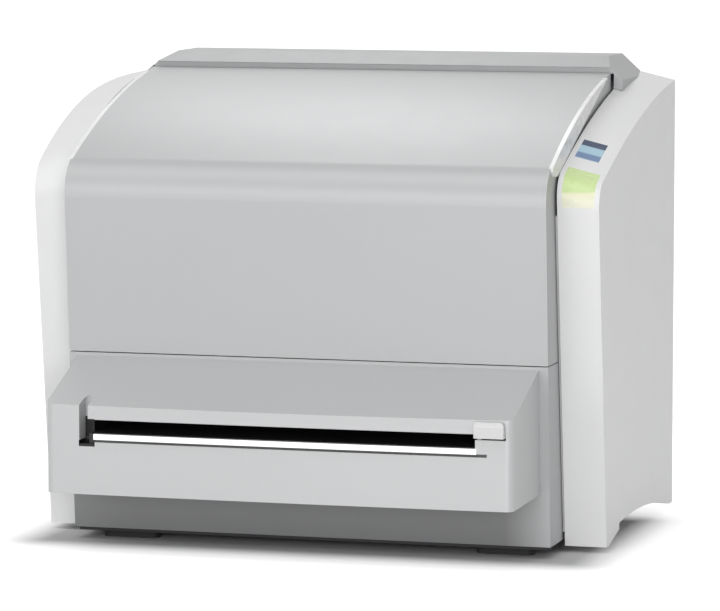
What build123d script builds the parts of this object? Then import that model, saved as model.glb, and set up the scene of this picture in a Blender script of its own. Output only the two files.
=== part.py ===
from build123d import *
import math
import os

# Tabletop computed radiography reader, drum type. Millimetres, +Z up, +X to the viewer's right,
# -Y towards the user. The origin is on the table under the middle of the reader.

# Sheet and moulding walls
pan_wall = 2.0
frame_wall = 2.0
moulding_wall = 3.0
end_wall = 2.5
sheet_wall = 1.5
trim_thickness = 2.2

# Clearances
slack = 0.3
running = 0.05
seam_gap = 1.0
travel_gap = 3.0

# Overall body: the widths are counted out from the cassette slot
slot_right_x = 198.5
slot_shift = 7.0
guide_room = 30.0
frame_room = 7.5
front_margin = 7.7
panel_width = 41.8
slot_left_x = slot_shift - slot_right_x
slit_right_x = slot_right_x + guide_room
frame_x = slit_right_x + frame_room
frame_outer_x = frame_x + frame_wall
front_half_width = frame_outer_x + front_margin
panel_inner_x = front_half_width + trim_thickness + slack
half_width = panel_inner_x + panel_width
rear_y = 239.3
rear_sheet_y = rear_y - 6.3
foot_height = 8.0
panel_bottom_z = 6.0
fascia_bottom_z = 12.0
seam_z = 190.5

# Silver front: lower fascia and hood share one leaning plane
seam_y = -137.7
front_lean = 0.0733
hood_crease_start = (-149.1, 346.3)
hood_crease_end = (-127.0, 384.5)
hood_rear = (130.5, 462.2)
hood_flange_depth = 44.0
hood_flange_rear = [(-86.0, 190.0), (-103.0, 300.0)]
fascia_depth = 53.0
ledge_depth = 18.0
trim_wrap = 2.0
trim_skin = 1.5
trim_chord_rear = (106.0, 457.6)
trim_tip = [(-106.0, 375.5), (-111.0, 374.2), (-119.0, 374.0), (-126.0, 376.0), (-130.0, 380.0)]
top_z = hood_rear[1] + 15.3

# Side panels: (y, z) points of the outer edge, which differ on the two sides
panel_foot_y = -72.5
panel_crease_start = (-114.5, 341.0)
right_shoulder = (-98.0, 368.5)
right_crown = (87.0, 425.8)
left_shoulder = (-95.0, 381.0)
left_crown = (77.0, 442.7)
panel_rear_z = 450.5
panel_fall = 10.0
arch_front_y = -15.5
arch_peak_y = 46.0
arch_rear_y = 226.0
arch_height = 16.0
arch_crown = 2.0
arch_toe_length = 46.0
arch_toe_rise = 9.6
boss_radius = 6.0
panel_bosses = [(-58.0, 48.0), (205.0, 60.0), (60.0, 180.0), (205.0, 380.0)]

# Feet and pan
foot_length = 58.0
foot_width = 22.0
pan_half_width = frame_outer_x + 5.0
foot_x = pan_half_width - 49.0
front_foot_y = -95.0
rear_foot_y = rear_sheet_y - 28.0
pan_front_y = -118.0
pan_rear_y = rear_sheet_y
pan_flange = 25.0

# Frame plates, (y, z) corners, and the tie bars between them
frame_front_y = -112.0
frame_rear_y = rear_sheet_y - 11.0
frame_top_length = 40.0
frame_top_drop = 11.5
pan_top_z = foot_height + pan_wall
frame_top_height = top_z - frame_top_drop - pan_top_z
frame_corners = [(frame_front_y, 0), (frame_rear_y, 0), (frame_rear_y, frame_top_height)]
frame_corners += [(frame_rear_y - frame_top_length, frame_top_height), (150, 432), (112, 430)]
frame_front_corners = [(0, 402), (-70, 374), (-100, 340), (frame_front_y, 200)]
tie_bar = 12.0

# Bezel with the cassette slot
bezel_margin = 8.7
bezel_taper = 1.5
bezel_root_half_width = front_half_width - bezel_margin
bezel_front_half_width = bezel_root_half_width - bezel_taper
bezel_front_y = -239.0
bezel_back_y = -100.0
bezel_bow = 3.0
bezel_corner_radius = 8.0
bezel_root_top_z = seam_z - 3.0
slot_bottom_z = 122.9
slot_height = 13.6
slot_top_z = slot_bottom_z + slot_height
bezel_crease_z = slot_top_z + 13.0
bezel_bottom_z = slot_bottom_z - 60.3
bezel_bottom_rise = 2.6
notch_width = 9.0
notch_right_x = slot_left_x
notch_left_x = notch_right_x - notch_width
notch_bottom_z = slot_bottom_z - 10.3
notch_top_z = slot_top_z + 21.0
notch_depth = 22.0
slit_height = 5.5
slit_bottom_z = slot_top_z - slit_height
lip_left_x = slot_left_x + 6.8
lip_right_x = slot_right_x + 2.0
lip_height = 5.6
lip_proud = 3.2
lip_groove_height = 3.0
lip_groove_depth = 2.0

# Throat behind the slot
throat_wall = 2.5
throat_side_gap = 1.8
throat_half_width = 23.5 - slot_left_x
throat_right_x = slit_right_x + throat_side_gap + throat_wall
throat_end_y = -82.0
throat_floor_depth = 10.6
throat_roof_depth = 10.6
throat_left_x = slot_left_x - 5.0
ear_depth = 28.0
ear_front_y = throat_end_y - ear_depth

# Cassette guide
guide_travel = 152.0
guide_blade = 4.0
guide_block = 16.0
guide_rod_radius = 3.0
guide_rod_y = -150.0
tab_drop = 2.6
tab_height = 15.0
tab_depth = 5.6
tab_top_depth = 1.6
tab_chamfer = 4.5
tab_corner = 5.0

# Drum and its drive
rail_y = -83.0
carriage_depth = 36.0
collector_reach = 14.5
collector_gap = 3.5
drum_radius = 80.0
drum_y = rail_y + carriage_depth / 2 + collector_reach + collector_gap + drum_radius
drum_z = 292.0
drum_end_gap = 40.0
drum_length = 2 * (frame_x - drum_end_gap)
drum_wall = 4.0
cap_width = 10.0
drum_shaft_radius = 10.0
drum_bearing_radius = 16.0
drum_pulley_radius = 32.0
pulley_x = -frame_outer_x - 4.0
pulley_width = 12.0
pulley_flange = 2.0
belt_thickness = 1.5
motor_pulley_radius = 12.0
drum_motor_y = 150.0
drum_motor_z = 215.0
drum_motor_radius = 20.0
drum_motor_shaft = 4.0
motor_length = 40.0

# Feed rollers and their gears
roller_y = -57.0
plate_level = 4.5
nip_z = slot_bottom_z + plate_level
nip_gap = 0.8
drive_roller_radius = 14.0
drive_shaft_radius = 5.0
pinch_roller_radius = 10.0
pinch_shaft_radius = 4.0
roller_length = 2 * (frame_x - 46.0)
roller_bearing_wall = 4.0
gear_module = 1.25
drive_gear_teeth = 32
pinion_teeth = 16
gear_width = 8.0
gear_x = frame_outer_x + 3.0
feed_motor_radius = 14.0
motor_shaft_radius = 2.5

# Plate guide up to the drum
guide_entry = (-38.0, 126.0)
guide_start_angle = -100.0
guide_end_angle = 0.0

# Scan carriage, rails and lead screw
rail_radius = 6.0
lower_rail_z = 258.0
upper_rail_z = 342.0
rail_block = 24.0
rail_block_length = 11.0
screw_z = 300.0
screw_radius = 6.0
carriage_width = 90.0
carriage_height = 122.0
optics_depth = 29.0
optics_width = 80.0
optics_bottom_z = 262.0
optics_top_z = 345.0
collector_below = 24.0
collector_above = 34.0
collector_nose = 8.0
tube_radius = 13.0
tube_length = 70.0
screw_motor_side = 30.0
screw_motor_length = 32.0

# Hood hinge
hinge_inset = 3.5
hinge_drop = 9.2
hinge_bar_behind = 15.0
hinge_bar_below = 13.0
hinge_y = hood_rear[0] - hinge_inset
hinge_z = hood_rear[1] - hinge_drop
hinge_barrel_radius = 4.5
hinge_pin_radius = 2.5
hinge_arm_x = frame_x - 21.0
hinge_arm_width = 13.0
hinge_arm_reach = 38.0
hinge_ear = 3.0
hinge_bar_place = (hinge_y + hinge_bar_behind, hinge_z - hinge_bar_below)
tie_bar_places = [(-102.0, seam_z - 9.3), hinge_bar_place, (214.0, 24.0), (200.0, 156.0)]

# Eraser unit behind the drum and its sheet guide
guide_gap = 6.0
eraser_gap = 3.5
eraser_y = drum_y + drum_radius + guide_gap + sheet_wall + eraser_gap
eraser_depth = 36.0
eraser_bottom_z = 255.0
eraser_height = 80.0
eraser_end_x = frame_x - 45.0
lamp_radius = 7.0
lamp_inset = 18.0

# Rear cover
cover_overlap = 9.1
cover_end_run = 23.9
cover_end_drop = 22.0
cover_half_width = panel_inner_x + cover_overlap
cover_flat_half_width = cover_half_width - cover_end_run
cover_hood_gap = 3.5
cover_hood_rise = 5.8
cover_under_drop = 1.0
cover_slope_length = 42.0
cover_front_y = hood_rear[0] + cover_hood_gap
cover_front_z = hood_rear[1] + cover_hood_rise
cover_under_z = hood_rear[1] - cover_under_drop
cover_recess = 4.0
cover_flat_y = cover_front_y + cover_slope_length
cover_bottom_z = 445.0
cover_wall = 2.5
cover_pad = 10.0
cover_pad_y = 200.0

# Rear sheet and what it carries
rear_sheet_wall = 2.0
rear_sheet_top_z = 452.0
vent_length = 60.0
vent_height = 4.0
vent_pitch = 9.0
vent_rows = 8
vent_bottom_z = 345.0
vent_columns = [-160.0, -60.0, 60.0, 160.0]
rear_socket_inset = 93.0
fan_x = rear_socket_inset - pan_half_width
fan_z = 110.0
fan_side = 80.0
fan_depth = 25.0
fan_bore_radius = 38.0
fan_hub_radius = 15.0
fan_shaft_radius = 2.5
fan_blades = 7
blade_thickness = 1.5
blade_width = 14.0
inlet_x = pan_half_width - rear_socket_inset
inlet_z = 60.0
inlet_width = 27.0
inlet_height = 20.0
inlet_depth = 19.0
switch_x = inlet_x - 45.0
switch_width = 19.0
switch_height = 13.0
flange_overlap = 2.5
flange_wall = 2.0
rocker_angle = 10.0
port_x = -25.0
port_z = 100.0
port_width = 56.0
port_height = 15.0
port_depth = 18.0
board_width = 220.0
board_bottom_z = 112.0
board_top_z = 300.0
board_wall = 1.6
standoff = 9.0
standoff_inset = 8.0
standoff_rise = 26.0
board_blocks = [(-60, 190, 34, 34, 4), (10, 190, 26, 26, 3), (60, 150, 50, 20, 8)]
board_blocks += [(-70, 265, 40, 12, 9), (20, 265, 60, 12, 9), (75, 225, 18, 40, 6)]

# Power supply on the pan
supply_width = 180.0
supply_x = frame_x - 16.0 - supply_width
supply_y = 85.0
supply_length = 115.0
supply_height = 60.0

# Display and status light let into the right panel's band
display_x = half_width - 24.5
display_y = -42.0
display_width = 24.0
display_length = 42.0
inlay_depth = 2.0
light_x = half_width - 21.0
light_half_width = 16.0
light_bottom_z = 344.0
light_rear_y = -86.0

# Sizes that follow from the ones above
drive_z = nip_z - nip_gap / 2 - drive_roller_radius
pinch_z = nip_z + nip_gap / 2 + pinch_roller_radius
gear_centres = gear_module * (drive_gear_teeth + pinion_teeth) / 2
feed_motor_z = drive_z - gear_centres
floor_top_z = slot_bottom_z - slack
roof_bottom_z = slot_top_z + slack
guide_rod_z = roof_bottom_z + guide_rod_radius + 2
guide_blade_x = slot_right_x + 0.5
cap_inner_radius = drum_radius - drum_wall
front_y = bezel_front_y - slack - tab_depth
centre_shift = -(front_y + rear_y) / 2


def box(x0, x1, y0, y1, z0, z1):
    """Box given by its opposite corners."""
    size = (x1 - x0, y1 - y0, z1 - z0)
    middle = ((x0 + x1) / 2, (y0 + y1) / 2, (z0 + z1) / 2)
    return Pos(*middle) * Box(*size)


def rod_x(y, z, radius, x0, x1):
    """Round bar along X."""
    middle = Pos((x0 + x1) / 2, y, z)
    return middle * Rot(0, 90, 0) * Cylinder(radius, abs(x1 - x0))


def rod_y(x, z, radius, y0, y1):
    """Round bar along Y."""
    middle = Pos(x, (y0 + y1) / 2, z)
    return middle * Rot(90, 0, 0) * Cylinder(radius, abs(y1 - y0))


def side_prism(points, x0, x1):
    """Solid between two X planes from (y, z) corners."""
    corners = [Vector(x0, y, z) for y, z in points]
    face = Face(Wire.make_polygon(corners, close=True))
    return Solid.extrude(face, Vector(x1 - x0, 0, 0))


def front_prism(points, y0, y1):
    """Solid between two Y planes from (x, z) corners."""
    corners = [Vector(x, y0, z) for x, z in points]
    face = Face(Wire.make_polygon(corners, close=True))
    return Solid.extrude(face, Vector(0, y1 - y0, 0))


def both_sides(shape):
    """A shape and its mirror image across the reader's middle plane."""
    return [shape, shape.mirror(Plane.YZ)]


def group(shapes):
    """Separate solids kept together as one node."""
    solids = []
    for shape in shapes:
        solids += shape.solids()
    return Compound(children=solids)


def front_plane_y(z):
    """Depth of the leaning silver front at a height."""
    return seam_y - front_lean * (z - seam_z)


def headings(points):
    """Unit headings of an outline of one line and then arcs, each tangent to the last."""
    (y0, z0), (y1, z1) = points[:2]
    angle = math.atan2(z1 - z0, y1 - y0)
    angles = [angle, angle]
    for (ya, za), (yb, zb) in zip(points[1:], points[2:]):
        chord = math.atan2(zb - za, yb - ya)
        angle = 2 * chord - angle
        angles.append(angle)
    return [(math.cos(a), math.sin(a)) for a in angles]


def inset_outline(points, distance, run_in=0.0, run_out=0.0):
    """The outline moved inwards, with its ends run on by straight lengths."""
    directions = headings(points)
    moved = []
    for (y, z), (hy, hz) in zip(points, directions):
        moved.append((y + distance * hz, z - distance * hy))
    (y, z), (hy, hz) = moved[0], directions[0]
    moved[0] = (y - run_in * hy, z - run_in * hz)
    (y, z), (hy, hz) = moved[-1], directions[-1]
    tail = (y + run_out * hy, z + run_out * hz)
    return moved, directions, tail


def outline_face(x, outline, corners):
    """Face bounded by an inset outline and by straight lines through corners."""
    moved, directions, tail = outline
    points = [Vector(x, y, z) for y, z in moved]
    edges = [Edge.make_line(points[0], points[1])]
    for a, b, (hy, hz) in zip(points[1:], points[2:], directions[1:]):
        edges.append(Edge.make_tangent_arc(a, Vector(0, hy, hz), b))
    path = list(corners) + [moved[0]]
    if tail != moved[-1]:
        path.insert(0, tail)
    here = points[-1]
    for corner in path:
        there = Vector(x, *corner)
        edges.append(Edge.make_line(here, there))
        here = there
    return Face(Wire(edges))


def hood_outline():
    """Front edge, crease and top curve of the hood, from the seam to the rear edge."""
    low_z = seam_z + seam_gap
    return [(front_plane_y(low_z), low_z), hood_crease_start, hood_crease_end, hood_rear]


def hood_region(inset, x0, x1, over=0.0):
    """Solid under the hood's outer curve, set in and run past its open sides."""
    outline = inset_outline(hood_outline(), inset, over, over)
    low, tail = outline[0][0], outline[2]
    face = outline_face(x0, outline, [(tail[0], low[1])])
    return Solid.extrude(face, Vector(x1 - x0, 0, 0))


def hood_shell():
    """Full-width silver hood with a leaning front, a rounded crease and end flanges."""
    outer = hood_region(0, -front_half_width, front_half_width)
    inner_x = front_half_width - end_wall
    inner = hood_region(moulding_wall, -inner_x, inner_x, 10)
    deep = hood_region(hood_flange_depth, -half_width, half_width, 20)
    (ya, za), (yb, zb) = hood_flange_rear
    behind = [(ya, 0), (ya, za), (yb, zb), (yb, top_z), (rear_y, top_z), (rear_y, 0)]
    shell = outer - inner - (deep & side_prism(behind, -half_width, half_width))
    for trim in both_sides(end_trim()):
        shell -= trim
    return shell


def end_trim():
    """Crescent for the +X end, from the hood's curve to a chord, with a skin round its edge."""
    x0 = front_half_width
    x1 = x0 + trim_thickness
    cap = hood_region(0, x0 - trim_wrap, x1)
    cap -= hood_region(trim_skin, x0 - trim_wrap - 1, x0, 5)
    front_y, rear_top = trim_tip[-1][0], (trim_chord_rear[0], top_z)
    area = [trim_chord_rear, rear_top, (front_y, top_z)] + trim_tip[::-1]
    return cap & side_prism(area, x0 - trim_wrap - 1, x1 + 1)


def hood_end_trims():
    """Bright crescents on the hood's two ends."""
    return group(both_sides(end_trim()))


def hood_hinge_arms():
    """Two arms under the hood's rear edge, each ending in a barrel round its hinge pin."""
    x0 = hinge_arm_x - hinge_arm_width / 2
    x1 = hinge_arm_x + hinge_arm_width / 2
    under = hood_region(moulding_wall, x0, x1, 12)
    low_z = hinge_z - hinge_barrel_radius
    root = box(x0, x1, hinge_y - hinge_arm_reach, hinge_y, low_z, top_z)
    arm = (under & root) + rod_x(hinge_y, hinge_z, hinge_barrel_radius, x0, x1)
    arm -= rod_x(hinge_y, hinge_z, hinge_pin_radius + running, x0 - 1, x1 + 1)
    return group(both_sides(arm))


def hinge_brackets():
    """Pairs of ears on the rear tie bar that hold the hinge pins."""
    bar_y, bar_z = tie_bar_places[1]
    base_z = bar_z + tie_bar / 2
    ears = []
    for side in (-1, 1):
        inner = hinge_arm_x + side * (hinge_arm_width / 2 + slack)
        outer = inner + side * hinge_ear
        x0, x1 = min(inner, outer), max(inner, outer)
        foot = box(x0, x1, hinge_y - 3, bar_y + tie_bar / 2, base_z, hinge_z)
        ear = foot + rod_x(hinge_y, hinge_z, hinge_barrel_radius, x0, x1)
        ear -= rod_x(hinge_y, hinge_z, hinge_pin_radius + running, x0 - 1, x1 + 1)
        ears += both_sides(ear)
    return group(ears)


def hinge_pins():
    """Pins through the ears and the hood's barrels."""
    reach = hinge_arm_width / 2 + slack + hinge_ear + 1
    pin = rod_x(hinge_y, hinge_z, hinge_pin_radius, hinge_arm_x - reach, hinge_arm_x + reach)
    return group(both_sides(pin))


def panel_region(shoulder, crown, inset, x0, x1):
    """Panel solid lofted between two X planes, lower towards its outer edge."""
    sections = []
    for x in (x0, x1):
        lift = panel_fall * (half_width - x) / (half_width - panel_inner_x)
        points = [(panel_foot_y, panel_bottom_z)]
        for y, z in (panel_crease_start, shoulder, crown, (rear_y, panel_rear_z)):
            points.append((y, z + lift))
        moved, directions, tail = inset_outline(points, inset, -inset)
        moved[-1] = (rear_y - inset, moved[-1][1])
        base = (rear_y - inset, panel_bottom_z + inset)
        moved[0] = (moved[0][0], base[1])
        face = outline_face(x, (moved, directions, moved[-1]), [base])
        sections.append(face.outer_wire())
    return Solid.make_loft(sections, ruled=True)


def arch_region(grow, x0, x1):
    """Long low arch in a panel's bottom edge, a hand hold, tallest near its front."""
    z0 = panel_bottom_z
    front = arch_front_y - grow
    corner = Vector(x0, front, z0 + arch_height + grow)
    peak = Vector(x0, arch_peak_y, z0 + arch_height + arch_crown + grow)
    end = Vector(x0, arch_rear_y + 2 * grow, z0)
    toe_start = Vector(x0, front - arch_toe_length, z0)
    toe_end = Vector(x0, front, z0 + arch_toe_rise + grow / 2)
    start = Vector(x0, front - arch_toe_length, z0 - 1)
    low_end = Vector(x0, arch_rear_y + 2 * grow, z0 - 1)
    edges = [Edge.make_line(start, toe_start), Edge.make_line(toe_start, toe_end)]
    edges += [Edge.make_line(toe_end, corner), Edge.make_three_point_arc(corner, peak, end)]
    edges += [Edge.make_line(end, low_end), Edge.make_line(low_end, start)]
    return Solid.extrude(Face(Wire(edges)), Vector(x1 - x0, 0, 0))


def side_panel(shoulder, crown):
    """White moulded panel for the +X side: shell, arch with its own wall, screw bosses."""
    outer_x = half_width - moulding_wall
    whole = panel_region(shoulder, crown, 0, panel_inner_x, half_width)
    hollow = panel_region(shoulder, crown, moulding_wall, panel_inner_x - 4, outer_x)
    arch = arch_region(0, panel_inner_x - 6, half_width + 1)
    hollow -= arch_region(moulding_wall, panel_inner_x - 6, half_width)
    panel = whole - hollow - arch
    for y, z in panel_bosses:
        panel += rod_x(y, z, boss_radius, frame_outer_x + slack, outer_x + 1)
    return panel


def right_inlay(area):
    """Skin of the right panel inside an area, as deep as an inlay."""
    skin = panel_region(right_shoulder, right_crown, 0, panel_inner_x, half_width)
    skin -= panel_region(right_shoulder, right_crown, inlay_depth, panel_inner_x - 4, half_width + 4)
    return skin & area


def display_window():
    """Display window let into the right panel's band."""
    x0 = display_x - display_width / 2
    y0 = display_y - display_length / 2
    area = box(x0, x0 + display_width, y0, y0 + display_length, light_bottom_z, top_z)
    return right_inlay(area)


def status_light():
    """Light window that follows the right panel's crease."""
    x0, x1 = light_x - light_half_width, light_x + light_half_width
    area = box(x0, x1, -half_width, light_rear_y, light_bottom_z, top_z)
    return right_inlay(area)


def rubber_feet():
    """Four long rubber feet under the pan."""
    feet = []
    for y in (front_foot_y, rear_foot_y):
        foot = Pos(foot_x, y, foot_height / 2) * Box(foot_length, foot_width, foot_height)
        foot = fillet(foot.edges().filter_by(Axis.Z), foot_width / 3)
        feet += both_sides(foot)
    return group(feet)


def base_pan():
    """Sheet steel pan with upturned flanges."""
    top = pan_top_z + pan_flange
    pan = box(-pan_half_width, pan_half_width, pan_front_y, pan_rear_y, foot_height, top)
    inner_x = pan_half_width - pan_wall
    hollow = box(-inner_x, inner_x, pan_front_y + pan_wall, pan_rear_y - pan_wall, pan_top_z, top + 1)
    return pan - hollow


def frame_plate(holes):
    """Upright plate on the +X side with its bearing and shaft holes."""
    corners = [(y, z + pan_top_z) for y, z in frame_corners]
    corners += [(y, z) for y, z in frame_front_corners]
    plate = side_prism(corners, frame_x, frame_outer_x)
    for y, z, radius in holes:
        plate -= rod_x(y, z, radius, frame_x - 1, frame_outer_x + 1)
    return plate


def bearing_holes():
    """Holes that both frame plates share."""
    return [
        (drum_y, drum_z, drum_bearing_radius + running),
        (roller_y, drive_z, drive_shaft_radius + roller_bearing_wall + running),
        (roller_y, pinch_z, pinch_shaft_radius + roller_bearing_wall + running),
        (rail_y, screw_z, screw_radius + roller_bearing_wall + running),
    ]


def frame_tie_bars():
    """Square bars that tie the two frame plates together."""
    bars = []
    for y, z in tie_bar_places:
        h = tie_bar / 2
        bars.append(box(-frame_x, frame_x, y - h, y + h, z - h, z + h))
    return group(bars)


def front_fascia():
    """Lower silver moulding behind the bezel, with a ledge under the seam."""
    z0 = fascia_bottom_z
    depth = fascia_depth
    wall = moulding_wall
    outer = [(front_plane_y(z0), z0), (seam_y, seam_z), (seam_y + depth, seam_z)]
    outer.append((front_plane_y(z0) + depth, z0))
    inner = [(front_plane_y(z0 - 9) + wall, z0 - 9), (front_plane_y(seam_z - wall) + wall, seam_z - wall)]
    inner += [(rear_y, seam_z - wall), (rear_y, z0 - 9)]
    inner_x = front_half_width - end_wall
    fascia = side_prism(outer, -front_half_width, front_half_width)
    fascia -= side_prism(inner, -inner_x, inner_x)
    fascia -= box(-inner_x, inner_x, seam_y + ledge_depth, 0, seam_z - wall - 1, seam_z + 1)
    gap = travel_gap
    low, high = notch_bottom_z - throat_floor_depth, roof_bottom_z + throat_roof_depth + gap
    return fascia - box(-throat_half_width - gap, throat_right_x + gap, -half_width, 0, low, high)


def bezel_plan(inset):
    """Upright prism of the bezel's plan: bowed front, rounded corners, slight side taper."""
    back_y = bezel_back_y
    back = bezel_root_half_width - inset
    front = bezel_front_half_width - inset
    corner_y = bezel_front_y + bezel_bow + inset
    points = [Vector(-back, back_y, 0), Vector(-front, corner_y, 0)]
    points += [Vector(0, bezel_front_y + inset, 0), Vector(front, corner_y, 0), Vector(back, back_y, 0)]
    edges = [Edge.make_line(points[0], points[1])]
    edges.append(Edge.make_three_point_arc(points[1], points[2], points[3]))
    edges += [Edge.make_line(points[3], points[4]), Edge.make_line(points[4], points[0])]
    prism = Solid.extrude(Face(Wire(edges)), Vector(0, 0, top_z))
    corners = prism.edges().filter_by(Axis.Z).sort_by(Axis.Y)[:2]
    return fillet(corners, bezel_corner_radius - inset)


def bezel_region(inset, over=0.0):
    """Bezel volume with its sloped top and rising underside, set in and run past its back."""
    reach = bezel_front_y - bezel_root_y()
    slope = (bezel_crease_z - bezel_root_top_z) / reach
    low_root_y = front_plane_y(bezel_bottom_z + bezel_bottom_rise)
    rise = bezel_bottom_rise / (low_root_y - bezel_front_y)
    drop = inset * math.hypot(1, slope)
    front = bezel_front_y - 20

    def top(y):
        return bezel_crease_z + slope * (y - bezel_front_y) - drop

    def bottom(y):
        return bezel_bottom_z + rise * (y - bezel_front_y) + inset * math.hypot(1, rise)

    y_top = front_plane_y(bezel_root_top_z) + over
    y_bottom = low_root_y + over
    points = [(front, bottom(front)), (front, top(front)), (y_top, top(y_top)), (y_bottom, bottom(y_bottom))]
    return bezel_plan(inset) & side_prism(points, -half_width, half_width)


def bezel_root_y():
    """Where the bezel's sloped top meets the silver front."""
    return front_plane_y(bezel_root_top_z)


def notch_shape(grow):
    """Upright round-topped notch at the slot's left end, through the bezel's crease."""
    x0, x1 = notch_left_x - grow, notch_right_x
    y1 = bezel_front_y + notch_depth + grow
    radius = (x1 - x0) / 2
    top = notch_top_z + grow - radius
    cut = box(x0, x1, -half_width, y1, notch_bottom_z - grow, top)
    return cut + rod_y((x0 + x1) / 2, top, radius, -half_width, y1)


def cassette_bezel():
    """Projecting moulding with the cassette slot, the left notch and the guide's slit."""
    wall = moulding_wall
    bezel = bezel_region(0) - bezel_region(wall, 10)
    pocket = notch_shape(throat_wall)
    pocket += box(notch_right_x - 1, notch_right_x + throat_wall, -half_width,
                  bezel_front_y + notch_depth + throat_wall, slot_top_z, notch_top_z)
    bezel += pocket & bezel_region(0)
    bezel -= notch_shape(0)
    inside_y = bezel_front_y + bezel_bow + wall + 1
    bezel -= box(slot_left_x, slot_right_x, -half_width, inside_y, slot_bottom_z, slot_top_z)
    bezel -= box(slot_left_x, slit_right_x, -half_width, inside_y, slit_bottom_z, slot_top_z)
    bezel -= box(slot_left_x, lip_left_x, -half_width, inside_y, notch_bottom_z, slot_top_z)
    groove_top = slot_bottom_z - lip_height
    groove = box(lip_left_x, lip_right_x, -half_width, inside_y, groove_top - lip_groove_height, groove_top)
    return bezel - (groove - bezel_plan(lip_groove_depth))


def slot_lip():
    """Polished strip under the slot, following the bezel's bow."""
    strip = bezel_plan(-lip_proud) - bezel_plan(0)
    low = slot_bottom_z - lip_height
    return strip & box(lip_left_x, lip_right_x, -half_width, bezel_root_y(), low, slot_bottom_z)


def throat_shape(z0, z1):
    """Slab across the throat with ears to the frame plates."""
    slab = box(-throat_half_width, throat_right_x, bezel_front_y, throat_end_y, z0, z1)
    return slab + box(-frame_x, frame_x, ear_front_y, throat_end_y, z0, z1)


def beside_notch(x1):
    """Room that a throat piece leaves round the notch's pocket, up to an X plane."""
    y1 = bezel_front_y + notch_depth + throat_wall + slack
    return box(-half_width, x1 + slack, -half_width, y1, 0, top_z)


def inside_bezel(shape):
    """The part of a throat piece that fits in the bezel and behind it."""
    space = bezel_region(moulding_wall + slack, 10)
    behind = box(-half_width, half_width, bezel_root_y() - 20, 0, 0, top_z)
    inner = box(-throat_half_width, throat_right_x, -half_width, 0, 0, top_z)
    ears = box(-frame_x, frame_x, ear_front_y - 2, 0, 0, top_z)
    return (shape & (space + (behind & inner))) + (shape & ears)


def throat_floor():
    """Floor and side walls of the throat that the cassette slides on."""
    z0 = floor_top_z - throat_floor_depth
    shape = throat_shape(z0, floor_top_z)
    left = box(-throat_half_width, throat_left_x, bezel_front_y, throat_end_y, z0, roof_bottom_z)
    right_x = throat_right_x - throat_wall
    right = box(right_x, throat_right_x, bezel_front_y, throat_end_y, z0, roof_bottom_z)
    return inside_bezel(shape + left + right) - beside_notch(notch_right_x)


def throat_roof():
    """Roof of the throat, with the groove and bores for the guide's rod."""
    z1 = roof_bottom_z + throat_roof_depth
    shape = throat_shape(roof_bottom_z, z1)
    roof = inside_bezel(shape) - beside_notch(notch_right_x + throat_wall)
    groove_x = guide_blade_x - guide_travel - 2
    half = guide_block / 2
    roof -= box(groove_x, slit_right_x, guide_rod_y - half, guide_rod_y + half, 0, z1 - 1)
    x0, x1 = groove_x - 4, slit_right_x + 3
    return roof - rod_x(guide_rod_y, guide_rod_z, guide_rod_radius + running, x0, x1)


def guide_rod():
    """Rod that the cassette guide slides on."""
    x0 = guide_blade_x - guide_travel - 6
    return rod_x(guide_rod_y, guide_rod_z, guide_rod_radius, x0 + running, slit_right_x + 3 - running)


def cassette_guide():
    """Sliding width guide: finger tab, neck through the slit, blade and block on the rod."""
    low, high = floor_top_z + slack, roof_bottom_z - slack
    x0 = guide_blade_x
    blade_front = bezel_front_y + bezel_bow + moulding_wall + travel_gap
    guide = box(x0, x0 + guide_blade, blade_front, ear_front_y + ear_depth / 2, low, high)
    half = guide_block / 2 - slack
    block_top = roof_bottom_z + throat_roof_depth - 1 - slack
    guide += box(x0, x0 + guide_block, guide_rod_y - half, guide_rod_y + half, high - 1, block_top)
    guide -= rod_x(guide_rod_y, guide_rod_z, guide_rod_radius + running, x0 - 1, x0 + guide_block + 1)
    neck_low, neck_high = slit_bottom_z + tab_drop, slot_top_z - slack
    tab_back = bezel_front_y - slack
    tab_right = slit_right_x - slack
    guide += box(x0, tab_right, tab_back - 1, blade_front + 8, neck_low, neck_high)
    tab_front = tab_back - tab_depth
    tab_top = neck_low + tab_height
    shape = [(tab_back, neck_low), (tab_front, neck_low), (tab_front, tab_top - tab_chamfer)]
    shape += [(tab_back - tab_top_depth, tab_top), (tab_back, tab_top)]
    tab = side_prism(shape, x0, tab_right)
    x1, z1 = tab_right - tab_corner, tab_top - tab_corner
    corner = box(x1, tab_right + 1, tab_front - 1, tab_back + 1, z1, tab_top + 1)
    tab -= corner - rod_y(x1, z1, tab_corner, tab_front - 2, tab_back + 2)
    return guide + tab


def bush(y, z, bore, outer, side):
    """Flanged bush in one frame plate; side is +1 on the right and -1 on the left."""
    x0, x1 = side * (frame_x - 3), side * (frame_outer_x + 1)
    body = rod_x(y, z, outer, x0, x1) + rod_x(y, z, outer + 3, x0, side * frame_x)
    return body - rod_x(y, z, bore + running, side * (frame_x - 5), side * (frame_outer_x + 3))


def drum_bearings():
    """Bearing housings that carry the drum's shaft."""
    return group([bush(drum_y, drum_z, drum_shaft_radius, drum_bearing_radius, s) for s in (-1, 1)])


def roller_bushes():
    """Bushes of the two feed rollers."""
    bushes = []
    for side in (-1, 1):
        for z, radius in ((drive_z, drive_shaft_radius), (pinch_z, pinch_shaft_radius)):
            bushes.append(bush(roller_y, z, radius, radius + roller_bearing_wall, side))
    return group(bushes)


def screw_bushes():
    """Bushes of the lead screw."""
    outer = screw_radius + roller_bearing_wall
    return group([bush(rail_y, screw_z, screw_radius, outer, s) for s in (-1, 1)])


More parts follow.
